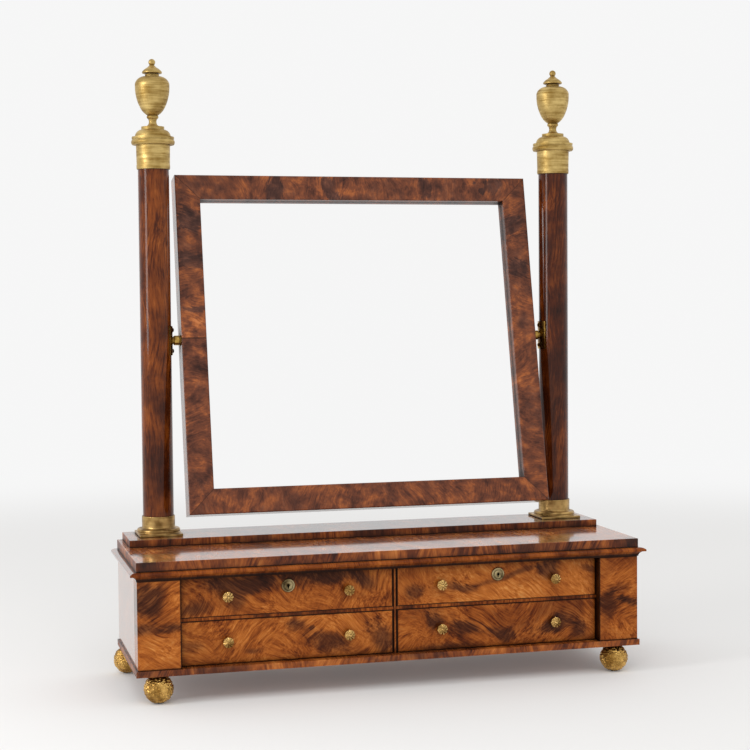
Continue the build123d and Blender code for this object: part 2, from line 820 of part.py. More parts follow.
def urn_lid():
    """Domed lid that draws in to a ball, with a spigot in the urn's mouth."""
    rim, neck, ball = lid_diameter / 2, lid_neck_diameter / 2, lid_ball_diameter / 2
    spigot = urn_mouth_diameter / 2 - seat_gap
    dome, dome_top = lid_dome_diameter / 2, lid_lip + lid_dome_height
    neck_z = dome_top + lid_hollow_height
    ball_z = neck_z + math.sqrt(ball**2 - neck**2)
    outline = (
        Line((0, -lid_spigot_depth), (spigot, -lid_spigot_depth))
        + Line((spigot, -lid_spigot_depth), (spigot, 0))
        + Line((spigot, 0), (rim - 0.6, 0))
        + Line((rim - 0.6, 0), (rim, 0.6))
        + Line((rim, 0.6), (rim, lid_lip))
        + bulged((rim, lid_lip), (dome, dome_top), lid_dome_bulge)
        + bulged((dome, dome_top), (neck, neck_z), -lid_hollow_bulge)
        + ThreePointArc((neck, neck_z), (ball, ball_z), (0, ball_z + ball))
        + Line((0, ball_z + ball), (0, -lid_spigot_depth))
    )
    return turned(outline)


# ---- Pivots -------------------------------------------------------------------

spool_end = column_radius + mirror_side_gap - bush_flange_thickness - pivot_end_gap


def pivot_bracket(sign):
    """Saddle plate on the column with the spool and pin that carry the frame."""
    inner, outer = column_radius + seat_gap, column_radius + pivot_plate_thickness
    half = pivot_plate_height / 2
    plate = rod(2 * outer, -half, half) - rod(2 * inner, -half, half)
    reach = outer * 2
    spread = reach * math.tan(math.radians(pivot_plate_angle))
    wedge = Polyline((0, 0), (reach, spread), (reach, -spread), close=True)
    plate &= Pos(0, 0, -half) * extrude(make_face(wedge), pivot_plate_height)
    # The plate above faces +X; the turned parts are made along +Z and laid over.
    spool, pin, tail = pivot_spool_diameter / 2, pivot_pin_diameter / 2, pivot_tail_diameter / 2
    start = column_radius + pivot_plate_thickness * 0.4
    neck = outer + 1.2
    tip = column_radius + mirror_side_gap + pivot_pin_grip
    outline = (
        Line((0, column_radius - pivot_tail_length + 0.5), (tail, column_radius - pivot_tail_length + 0.5))
        + Line((tail, column_radius - pivot_tail_length + 0.5), (tail, start))
        + Line((tail, start), (spool - 1.4, start))
        + Line((spool - 1.4, start), (spool - 1.4, neck))
        + ThreePointArc((spool - 1.4, neck), (spool - 0.4, neck + 0.4), (spool, neck + 1.4))
        + Line((spool, neck + 1.4), (spool, spool_end))
        + Line((spool, spool_end), (pin, spool_end))
        + Line((pin, spool_end), (pin, tip - 1))
        + Line((pin, tip - 1), (pin - 1, tip))
        + Line((pin - 1, tip), (0, tip))
        + Line((0, tip), (0, column_radius - pivot_tail_length + 0.5))
    )
    laid = Rotation(0, 90, 0) * turned(outline)
    bracket = plate + laid
    for height in (pivot_screw_offset, -pivot_screw_offset):
        hole = Rotation(0, 90, 0) * rod(pivot_screw_diameter + 2 * seat_gap, inner - 1, outer + 1)
        bracket -= Pos(0, 0, height) * hole
    bracket = Rotation(0, 0, 180) * bracket if sign > 0 else bracket
    return Pos(sign * column_x, column_y, pivot_z) * bracket


def pivot_screws():
    """Four round-headed wood screws, two to each bracket."""
    shank, head = pivot_screw_diameter / 2, pivot_screw_head_diameter / 2
    seat = column_radius + pivot_plate_thickness
    tip = seat - pivot_screw_length + 0.5
    crown = seat + pivot_screw_head_height
    dome = (head**2 + pivot_screw_head_height**2) / (2 * pivot_screw_head_height)
    mid_angle = math.asin(head / dome) / 2
    shoulder = (dome * math.sin(mid_angle), crown - dome * (1 - math.cos(mid_angle)))
    outline = (
        Line((0, tip), (shank, tip + shank))
        + Line((shank, tip + shank), (shank, seat))
        + Line((shank, seat), (head, seat))
        + ThreePointArc((head, seat), shoulder, (0, crown))
        + Line((0, crown), (0, tip))
    )
    screw = turned(outline)
    return [
        Pos(sign * column_x, column_y, pivot_z + height) * facing_inward(screw, sign)
        for _, sign in sides
        for height in (pivot_screw_offset, -pivot_screw_offset)
    ]


def pivot_bush(sign):
    """Flanged brass bush in the stile, in the frame's own upright position."""
    flange, barrel = bush_flange_diameter / 2, bush_diameter / 2
    bore = pivot_pin_diameter / 2 + pivot_running_gap
    outline = Polyline(
        (bore, -bush_length), (barrel, -bush_length), (barrel, 0), (flange, 0),
        (flange, bush_flange_thickness * 0.6), (flange - 0.5, bush_flange_thickness),
        (bore, bush_flange_thickness), close=True,
    )
    # Made along +Z with its flange on the stile's outer face, then laid outwards.
    laid = Rotation(0, 90 * sign, 0) * turned(outline)
    return Pos(sign * mirror_width / 2, 0, 0) * laid


# ---- Looking glass ------------------------------------------------------------
# Made upright about the pivot, then leaned back by the tilt.

def lean(piece):
    return Pos(0, column_y, pivot_z) * Rotation(-mirror_tilt, 0, 0) * piece


def member_outline():
    """Section of a frame member: distance in from the outer edge, then depth."""
    width, deep = member_width, member_thickness
    soft = member_round
    lip = member_width - member_lip_width
    return (
        Line((0, soft), (0, deep))
        + Line((0, deep), (lip, deep))
        + Line((lip, deep), (lip, member_lip_depth))
        + Line((lip, member_lip_depth), (width, member_lip_depth))
        + Line((width, member_lip_depth), (width, soft))
        + ThreePointArc((width, soft), (width - soft * 0.3, soft * 0.3), (width - soft, 0))
        + Line((width - soft, 0), (soft, 0))
        + ThreePointArc((soft, 0), (soft * 0.3, soft * 0.3), (0, soft))
    )


def frame_member(name):
    """One mitred, rebated member of the frame, with the glass side recessed."""
    half, face = mirror_width / 2, -member_thickness / 2
    top, low = mirror_above_pivot, -mirror_below_pivot
    centre = (top + low) / 2
    starts = {
        "rail_top": ((-half, face, top), (0, 0, -1), (1, 0, 0), mirror_width),
        "rail_bottom": ((half, face, low), (0, 0, 1), (-1, 0, 0), mirror_width),
        "stile_left": ((-half, face, low), (1, 0, 0), (0, 0, 1), mirror_height),
        "stile_right": ((half, face, top), (-1, 0, 0), (0, 0, -1), mirror_height),
    }
    origin, inwards, along, length = starts[name]
    section = Plane(origin=origin, x_dir=inwards, z_dir=along) * make_face(member_outline())
    run = extrude(section, length)
    # Two 45 degree cuts: keep what lies nearer this edge than its neighbours.
    middle = mirror_height / 2 if "stile" in name else mirror_width / 2
    corners = {
        "rail_top": [(-half, top), (half, top), (half - middle, top - middle)],
        "rail_bottom": [(half, low), (-half, low), (middle - half, low + middle)],
        "stile_left": [(-half, low), (-half, top), (middle - half, centre)],
        "stile_right": [(half, top), (half, low), (half - middle, centre)],
    }
    wedge = Plane.XZ.offset(member_thickness) * make_face(Polyline(*corners[name], close=True))
    member = run & extrude(wedge, -2 * member_thickness)
    if "stile" in name:
        sign = -1 if name.endswith("left") else 1
        barrel = Rotation(0, 90 * sign, 0) * rod(bush_diameter + 2 * seat_gap, -bush_length, 0)
        member -= Pos(sign * half, 0, 0) * barrel
    return lean(member)


def sight_board(depth_front, depth_back, gap):
    """A board filling the rebate between two depths behind the frame's face."""
    inset = member_width - member_lip_width + gap
    half, face = mirror_width / 2 - inset, -member_thickness / 2
    return board(
        -half, half, face + depth_front, face + depth_back,
        inset - mirror_below_pivot, mirror_above_pivot - inset,
    )


def mirror_glass():
    back = member_lip_depth + glass_thickness
    return lean(sight_board(member_lip_depth, back, glass_gap))


def mirror_backboard():
    """Thin pine panel behind the glass, bevelled to its edges on the back."""
    front = member_lip_depth + glass_thickness
    panel = sight_board(front, front + backboard_thickness, glass_gap)
    rear = panel.faces().sort_by(Axis.Y)[-1]
    step = backboard_thickness - backboard_edge
    return lean(chamfer(rear.edges(), step + backboard_bevel, step, reference=rear))


# ---- Write every node ---------------------------------------------------------

def main():
    for place, (x, y) in foot_places().items():
        save(f"foot_{place}", Pos(x, y, 0) * ball_foot())
    save("bottom_board", bottom_board())
    save("back_panel", back_panel())
    save("divider", board(-bay_inner, bay_inner, drawer_face, back_inner, case_bottom, case_top))
    save("dust_boards", *dust_boards())
    save("carcass_top", subtop())
    save("top_board", polished_slab(half_width + top_overhang, block_face - top_overhang, top_bottom, plank_bottom))
    save("column_plank", polished_slab(half_width - plank_side_inset, plank_front, plank_bottom, plank_top))
    save("cornice_front", cornice_front())
    save("pivot_screws", *pivot_screws())
    save("mirror_glass", mirror_glass())
    save("mirror_backboard", mirror_backboard())
    for name in ("rail_top", "rail_bottom", "stile_left", "stile_right"):
        save(f"frame_{name}", frame_member(name))
    base, head, finial, lid = column_base(), capital(), urn(), urn_lid()
    urn_z = capital_z + capital_height
    for side, sign in sides:
        at_column = Pos(sign * column_x, column_y, 0)
        save(f"side_panel_{side}", side_panel(sign))
        save(f"corner_block_{side}", corner_block(sign))
        save(f"drawer_guide_{side}", drawer_guide(sign))
        save(f"cornice_{side}", cornice_return(sign))
        save(f"column_{side}", column(sign))
        save(f"column_base_{side}", at_column * Pos(0, 0, plank_top) * base)
        save(f"capital_{side}", at_column * Pos(0, 0, capital_z) * head)
        save(f"urn_{side}", at_column * Pos(0, 0, urn_z) * finial)
        save(f"urn_lid_{side}", at_column * Pos(0, 0, urn_z + urn_top) * lid)
        save(f"pivot_bracket_{side}", pivot_bracket(sign))
        save(f"pivot_bush_{side}", lean(pivot_bush(sign)))
    knob = rosette_knob()
    rows = {
        "upper": (rail_top_z + running_gap, case_top - front_top_gap, True),
        "lower": (case_bottom + running_gap, rail_bottom_z - front_top_gap, False),
    }
    for row, (bottom, top, has_lock) in rows.items():
        for side, sign in sides:
            x = sign * bay_middle
            drawer = f"drawer_{row}_{side}"
            save(f"{drawer}_front", drawer_front(x, bottom, top, has_lock))
            save(f"{drawer}_box", *drawer_box(x, bottom, top))
            save(f"{drawer}_knobs", *[place * knob for place in knob_places(x, bottom, top)])
            if has_lock:
                save(f"escutcheon_{side}", escutcheon(x))
                save(f"lock_case_{side}", lock_case(x))
                save(f"lock_bolt_{side}", lock_bolt(x))


main()
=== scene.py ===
import json
import math
import random

import bmesh
import bpy
from mathutils import Matrix, Vector, noise


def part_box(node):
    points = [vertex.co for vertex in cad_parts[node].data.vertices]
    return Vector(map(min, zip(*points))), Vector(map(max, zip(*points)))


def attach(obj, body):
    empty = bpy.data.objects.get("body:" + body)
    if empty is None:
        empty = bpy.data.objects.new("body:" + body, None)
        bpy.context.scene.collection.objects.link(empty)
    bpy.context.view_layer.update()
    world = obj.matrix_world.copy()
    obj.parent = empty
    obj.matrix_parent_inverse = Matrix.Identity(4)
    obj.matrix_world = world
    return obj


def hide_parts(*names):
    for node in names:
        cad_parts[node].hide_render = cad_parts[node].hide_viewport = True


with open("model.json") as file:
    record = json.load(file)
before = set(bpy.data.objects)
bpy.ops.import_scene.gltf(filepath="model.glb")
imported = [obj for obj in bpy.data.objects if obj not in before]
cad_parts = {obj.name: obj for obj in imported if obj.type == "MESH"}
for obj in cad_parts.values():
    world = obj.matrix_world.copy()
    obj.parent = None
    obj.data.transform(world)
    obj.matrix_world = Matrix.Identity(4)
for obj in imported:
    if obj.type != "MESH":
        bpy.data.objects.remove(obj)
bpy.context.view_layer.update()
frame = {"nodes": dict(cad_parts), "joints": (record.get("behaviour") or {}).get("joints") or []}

nodes = frame["nodes"]
pivot = next(Vector(j["pos_m"]) for j in frame["joints"] if j["name"] == "mirror_tilt")
mirrorTilt = 12.2  # degrees that the mirror leans back at rest
print("frame loaded,", len(nodes), "nodes")


def paint(red, green, blue):
    # a screen colour, 0 to 255, as the renderer wants it
    channels = [c / 255 for c in (red, green, blue)]
    return tuple(c / 12.92 if c < 0.04045 else ((c + 0.055) / 1.055) ** 2.4 for c in channels) + (1.0,)


class Value:
    # a socket that can stand in a sum
    def __init__(self, wiring, socket):
        self.wiring = wiring
        self.socket = socket

    def __add__(self, other):
        return self.wiring.maths("ADD", self, other)

    __radd__ = __add__

    def __sub__(self, other):
        return self.wiring.maths("SUBTRACT", self, other)

    def __rsub__(self, other):
        return self.wiring.maths("SUBTRACT", other, self)

    def __mul__(self, other):
        return self.wiring.maths("MULTIPLY", self, other)

    __rmul__ = __mul__

    def __abs__(self):
        return self.wiring.maths("ABSOLUTE", self)


class Wiring:
    # the nodes of one material or world
    def __init__(self, tree):
        self.tree = tree
        tree.nodes.clear()

    def node(self, kind, settings=None, inputs=None, out=0):
        # settings go in first, then the values or links of the sockets
        made = self.tree.nodes.new("ShaderNode" + kind)
        for key, value in (settings or {}).items():
            if key == "stops":
                stops = made.color_ramp.elements
                while len(stops) < len(value):
                    stops.new(0.5)
                for stop, (position, colour) in zip(stops, value):
                    stop.position = position
                    stop.color = colour
            else:
                setattr(made, key, value)
        for key, value in (inputs or {}).items():
            if isinstance(value, Value):
                self.tree.links.new(value.socket, made.inputs[key])
            else:
                made.inputs[key].default_value = value
        return Value(self, made.outputs[out] if made.outputs else None)

    def maths(self, operation, *values):
        return self.node("Math", {"operation": operation}, dict(enumerate(values)))

    def vector(self, operation, *values, out=0):
        return self.node("VectorMath", {"operation": operation}, dict(enumerate(values)), out)

    def mix(self, factor, first, second):
        return self.node("Mix", {"data_type": "RGBA"}, {0: factor, 6: first, 7: second}, 2)

    def ramp(self, value, stops):
        return self.node("ValToRGB", {"stops": stops}, {"Fac": value})

    def step(self, value, low, high, toLow=0.0, toHigh=1.0):
        # smooth change from toLow to toHigh
        inputs = {0: value, 1: low, 2: high, 3: toLow, 4: toHigh}
        return self.node("MapRange", {"interpolation_type": "SMOOTHSTEP"}, inputs)

    def noise(self, place, scale, detail=2.0, roughness=0.5, out="Fac"):
        inputs = {"Vector": place, "Scale": scale, "Detail": detail, "Roughness": roughness}
        return self.node("TexNoise", None, inputs, out)

    def turned(self, place, move=(0, 0, 0), turn=(0, 0, 0), scale=(1, 1, 1)):
        angles = [math.radians(a) for a in turn]
        inputs = {"Vector": place, "Location": move, "Rotation": angles, "Scale": scale}
        return self.node("Mapping", {"vector_type": "POINT"}, inputs)

    def axes(self, place):
        split = self.node("SeparateXYZ", None, {0: place})
        return [Value(self, socket) for socket in split.socket.node.outputs]


shaderSockets = {"colour": "Base Color", "roughness": "Roughness", "metal": "Metallic", "normal": "Normal",
                 "coat": "Coat Weight", "coatRoughness": "Coat Roughness", "coatIor": "Coat IOR",
                 "specular": "Specular IOR Level"}


class Finish(Wiring):
    # one material, from its first node to its shader
    def __init__(self, name):
        self.material = bpy.data.materials.new(name)
        self.material.use_nodes = True
        super().__init__(self.material.node_tree)

    def place(self):
        return self.node("TexCoord", out="Object")

    def close(self, **inputs):
        shader = self.node("BsdfPrincipled", None, {shaderSockets[k]: v for k, v in inputs.items()})
        self.node("OutputMaterial", None, {"Surface": shader})
        return self.material

    def hollows(self, reach, low, high):
        # 1 deep in a crease or gap, 0 out in the open
        openness = self.node("AmbientOcclusion", {"samples": 6}, {"Distance": reach}, "AO")
        return self.step(openness, low, high, 1.0, 0.0)

    def upward(self):
        # 1 on faces that look up, 0 on upright ones
        return self.step(self.axes(self.node("NewGeometry", out="Normal"))[2], 0.5, 0.9)

    def bump(self, height, strength, distance):
        return self.node("Bump", None, {"Height": height, "Strength": strength, "Distance": distance})


# each wood as its light tones and the tones of its dark clouds
caseWood = {
    "tones": [(0.0, paint(46, 14, 2)), (0.28, paint(96, 42, 12)), (0.52, paint(144, 75, 26)),
              (0.76, paint(180, 104, 42)), (1.0, paint(210, 142, 74))],
    "cloudTones": [(0.1, paint(22, 7, 3)), (0.5, paint(62, 30, 16)), (0.9, paint(112, 64, 34))],
}
frameWood = {
    "tones": [(0.0, paint(48, 24, 17)), (0.3, paint(84, 46, 32)), (0.55, paint(116, 64, 40)),
              (0.8, paint(156, 88, 46)), (1.0, paint(184, 112, 64))],
    "cloudTones": [(0.1, paint(34, 18, 16)), (0.5, paint(66, 40, 33)), (0.9, paint(100, 64, 52))],
}
columnWood = {
    "tones": [(0.0, paint(22, 3, 0)), (0.35, paint(72, 27, 3)), (0.65, paint(122, 60, 16)),
              (1.0, paint(166, 98, 40))],
    "cloudTones": [(0.1, paint(16, 3, 1)), (0.5, paint(50, 18, 6)), (0.9, paint(92, 42, 16))],
}

# how each kind of face is polished
polish = {
    "show": {"coatIor": 1.16, "specular": 0.03, "coatRoughness": 0.05, "roughness": 0.35},
    "top": {"coatIor": 1.56, "specular": 0.12, "coatRoughness": 0.10, "roughness": 0.5, "edgeCoat": 0.25},
    "side": {"coatIor": 1.42, "specular": 0.2, "coatRoughness": 0.05, "roughness": 0.2},
    "frame": {"coatIor": 1.24, "specular": 0.05, "coatRoughness": 0.05, "roughness": 0.35},
    "column": {"coatIor": 1.30, "specular": 0.02, "coatRoughness": 0.08, "roughness": 0.4},
}

# old polish and dust on glue lines; painted shade on the edges and in the hollows; a darker band along the
# bottom
blackened = {
    "line": paint(26, 12, 8),
    "edge": paint(16, 5, 2), "edgeDepth": 0.9, "edgeStart": 0.4, "edgeRagged": 0.0005,
    "darkening": paint(22, 10, 7), "darkeningDepth": 0.85,
    "hollow": paint(20, 7, 3), "hollowDepth": 0.92, "hollowReach": 0.012, "dullness": 0.9,
}

# the figure of a veneer where its own look says nothing else; scales are those of the noise
figure = {
    "polish": "show", "tone": 0.56, "paintedTopLight": 0.0, "contrast": 1.0, "blotch": 0.7, "seam": None, "lines": [],
    "leanBack": 0, "lean": (18, -32), "wander": 8.0, "sway": 0.085, "strokes": 1.0, "softScale": 26.0,
    "shareScale": 11.0, "shareEdge": (0.42, 0.58), "darkDepth": 0.92, "darkTone": 0.10, "cloudLift": 0.08,
    "cloud": 0.5, "cloudScale": 15.0, "cloudEdge": (0.44, 0.64), "cloudRagged": 0.25,
    "patches": [], "patchEdge": (0.2, 1.4), "poreScale": 120.0, "poreEdge": (0.58, 0.70), "poreTone": 0.12,
    "bump": 0.10, "relief": 0.0002, "edges": (), "edgeWidth": 0.0015, "darkening": None, "sunk": (0.25, 0.9),
}

# its strokes, from broad to fine: their noise, and how much they show in the tone, in the dark clouds and
# round a patch
strokes = {
    "broad": {"scale": 9.0, "detail": 2.0, "tone": 0.75, "dark": 0.9, "patch": 1.6},
    "short": {"scale": 24.0, "detail": 3.0, "tone": 0.95, "dark": 0.7, "patch": 1.3},
    "hair": {"scale": 52.0, "detail": 3.0, "tone": 0.72, "dark": 0.3, "patch": 0.0},
}
grainScales = {"x": (1, 16, 16), "y": (16, 1, 16), "z": (16, 16, 1), "across": (14, 1, 1)}


def veneer(name, look):
    # crotch figure: feathered clouds over two fields of fine strokes, pores, under polish, with painted shade
    # in its hollows and on the edges it names
    f = Finish(name)
    seed = look["seed"]
    place = f.vector("SUBTRACT", f.place(), look["centre"])
    if look["leanBack"]:
        place = f.turned(place, turn=(look["leanBack"], 0, 0))
    wander = f.noise(f.turned(place, (seed, seed * 0.7, 3)), look["wander"], 2.0, 0.45, "Color")
    wander = f.vector("SUBTRACT", wander, (0.5, 0.5, 0.5))
    swayed = f.vector("ADD", place, f.vector("MULTIPLY", wander, (look["sway"],) * 3))

    fields = []
    for lean in look["lean"]:
        turn = (0, 0, lean) if look["grain"] == "y" else (0, lean, 0)
        fields.append(f.turned(f.turned(swayed, (0, seed, 0), turn), scale=grainScales[look["grain"]]))
    share = f.step(f.noise(f.turned(place, (7 + seed, 0, 2)), look["shareScale"], 1.0), *look["shareEdge"])

    def drawn(stroke):
        # the two fields take turns over the surface
        scale = stroke["scale"] * look["strokes"]
        first, second = [f.noise(field, scale, stroke["detail"], 0.6) for field in fields]
        return first * share + second * (1 - share) - 0.5

    marks = {kind: drawn(stroke) for kind, stroke in strokes.items()}

    def showing(use):
        return sum(marks[kind] * stroke[use] for kind, stroke in strokes.items())

    pores = f.step(f.noise(fields[0], look["poreScale"] * look["strokes"]), *look["poreEdge"])
    soft = f.noise(f.turned(swayed, (seed, 3, 0)), look["softScale"], 3.0, 0.6) - 0.5

    clouds = f.noise(f.turned(swayed, (seed * 1.3, 0, seed)), look["cloudScale"], 4.0, 0.6)
    dark = f.step(clouds + marks["broad"] * look["cloudRagged"], *look["cloudEdge"], 0.0, look["cloud"])
    ragged = showing("patch") + soft
    for x, z, wide, high, depth in look["patches"]:
        offset = f.vector("MULTIPLY", f.vector("SUBTRACT", swayed, (x, 0, z)), (1 / wide, 0, 1 / high))
        dark = dark + f.step(f.vector("LENGTH", offset, out=1) + ragged, *look["patchEdge"], depth, 0.0)
    dark = f.step(dark + showing("dark"), 0.0, 1.0)

    tone = look["tone"] + showing("tone") * look["contrast"] + soft * look["blotch"]
    tone = tone - pores * look["poreTone"] - dark * look["darkTone"]
    if look["seam"]:
        tone = tone + look["seam"](f, place)
    # painted light: faces that look up are made lighter, as if lit from above
    if look["paintedTopLight"]:
        tone = tone + f.upward() * look["paintedTopLight"]
    light, cloud = f.ramp(tone, look["tones"]), f.ramp(tone + look["cloudLift"], look["cloudTones"])
    colour = f.mix(dark * look["darkDepth"], light, cloud)

    for line in look["lines"]:
        colour = f.mix(line(f, place), colour, blackened["line"])
    if look["edges"]:
        # painted shade: black on these edges and on the faces round the corner, for the dark gaps between
        # parts and the shadow under overhangs
        across, _, height = f.axes(place)
        halfWide, halfHigh = look["half"]
        toEdge = {"left": across + halfWide, "right": halfWide - across,
                  "low": height + halfHigh, "high": halfHigh - height}
        nearest = 1.0
        for edge in look["edges"]:
            nearest = f.maths("MINIMUM", toEdge[edge], nearest)
        width = look["edgeWidth"]
        nearest = nearest + marks["short"] * blackened["edgeRagged"]
        # painted shade, fading in from each listed edge
        wearAndShade = f.step(nearest, width * blackened["edgeStart"], width, blackened["edgeDepth"], 0.0)
        colour = f.mix(wearAndShade, colour, blackened["edge"])
    if look["darkening"]:
        # darker towards the bottom, fading out between two heights
        darkMask = f.step(f.axes(f.place())[2], *look["darkening"], blackened["darkeningDepth"], 0.0)
        colour = f.mix(darkMask, colour, blackened["darkening"])
    # painted shade: the colour goes darker in creases, gaps and recesses, where the ambient occlusion finds
    # them
    sunk = f.hollows(blackened["hollowReach"], *look["sunk"])
    colour = f.mix(sunk * blackened["hollowDepth"], colour, blackened["hollow"])

    finish = polish[look["polish"]]
    # the coat thins out in the same painted shade, so the hollows lose their reflection too
    coat = 1 - sunk * blackened["dullness"]
    if "edgeCoat" in finish:
        # less coat on the upright faces than on the top, which keeps the reflected sheen off them
        coat = coat * f.step(f.upward(), 0.0, 1.0, finish["edgeCoat"], 1.0)
    normal = f.bump(marks["short"] * 0.6 - pores, look["bump"], look["relief"])
    return f.close(colour=colour, roughness=finish["roughness"], normal=normal, coat=coat,
                   coatIor=finish["coatIor"], specular=finish["specular"],
                   coatRoughness=finish["coatRoughness"])


planing = {"ringScale": 9.0, "ringTone": 0.55, "poreScale": 90.0, "poreTone": 0.3, "blotchScale": 7.0,
           "blotchTone": 0.25, "poreEdge": (0.3, 0.7), "uneven": 0.08, "bump": 0.25, "relief": 0.0003,
           "specular": 0.35}
planedWoods = {
    "drawerLining": {
        "stretch": (14, 1, 14), "roughness": 0.5,
        "tones": [(0.2, paint(96, 62, 34)), (0.5, paint(138, 96, 56)), (0.8, paint(166, 122, 76))]},
    "groundWood": {
        "stretch": (1, 14, 14), "roughness": 0.62,
        "tones": [(0.2, paint(84, 54, 32)), (0.5, paint(122, 84, 50)), (0.8, paint(148, 108, 68))]},
}


def straightWood(name, look):
    # secondary wood with straight growth lines and pores
    f = Finish(name)
    place = f.place()
    lines = f.turned(place, scale=look["stretch"])
    rings = f.noise(lines, planing["ringScale"], 4.0, 0.6)
    pores = f.noise(lines, planing["poreScale"], 3.0, 0.6)
    blotch = f.noise(place, planing["blotchScale"])
    tone = rings * planing["ringTone"] + pores * planing["poreTone"] + blotch * planing["blotchTone"]
    rough, uneven = look["roughness"], planing["uneven"]
    return f.close(colour=f.ramp(tone, look["tones"]), specular=planing["specular"],
                   roughness=f.step(pores, *planing["poreEdge"], rough - uneven, rough + uneven),
                   normal=f.bump(pores, planing["bump"], planing["relief"]))


# the left stile is veneered in two lengths that meet at the pivot
seam = {"edge": (-0.0010, 0.0005), "below": -0.20, "above": 0.16, "fade": (0.03, 0.06), "far": 0.2,
        "line": (0.0004, 0.0010), "depth": 0.8}
# the frame's outer edges about the pivot, and the dark glue line where two members meet at 45 degrees
mitre = {"top": 0.209, "low": -0.219, "half": 0.2324, "line": (0.0002, 0.0007), "depth": 0.75}


def stileSeam(f, place):
    height = f.axes(place)[2]
    fade = f.step(abs(height), *seam["fade"], 1.0, seam["far"])
    return f.step(height, *seam["edge"], seam["below"], seam["above"]) * fade


def seamLine(f, place):
    return f.step(abs(f.axes(place)[2]), *seam["line"], seam["depth"], 0.0)


def mitreLine(f, place):
    across, _, height = f.axes(place)
    inward = mitre["half"] - abs(across)
    upper = abs(mitre["top"] - height - inward)
    lower = abs(height - mitre["low"] - inward)
    return f.step(f.maths("MINIMUM", upper, lower), *mitre["line"], mitre["depth"], 0.0)


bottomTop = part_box("bottom_board")[1].z
# the edges named in these looks are painted black, as shade in the gaps and under overhangs
block = {"grain": "z", "darkening": (bottomTop + 0.0004, bottomTop + 0.0022)}
front = {"grain": "x", "edges": ("left", "right", "low", "high")}
board = {"grain": "across", "polish": "top", "cloudScale": 16.0, "contrast": 1.1, "strokes": 0.8,
         "softScale": 34.0}
# painted shadow: a wide black band along the low edge of the cornice pieces, for the shade in the cove under
# the nose
cornice = {"edges": ("low",), "edgeWidth": 0.0048}
endPanel = {"grain": "z", "polish": "side", "tone": 0.50}

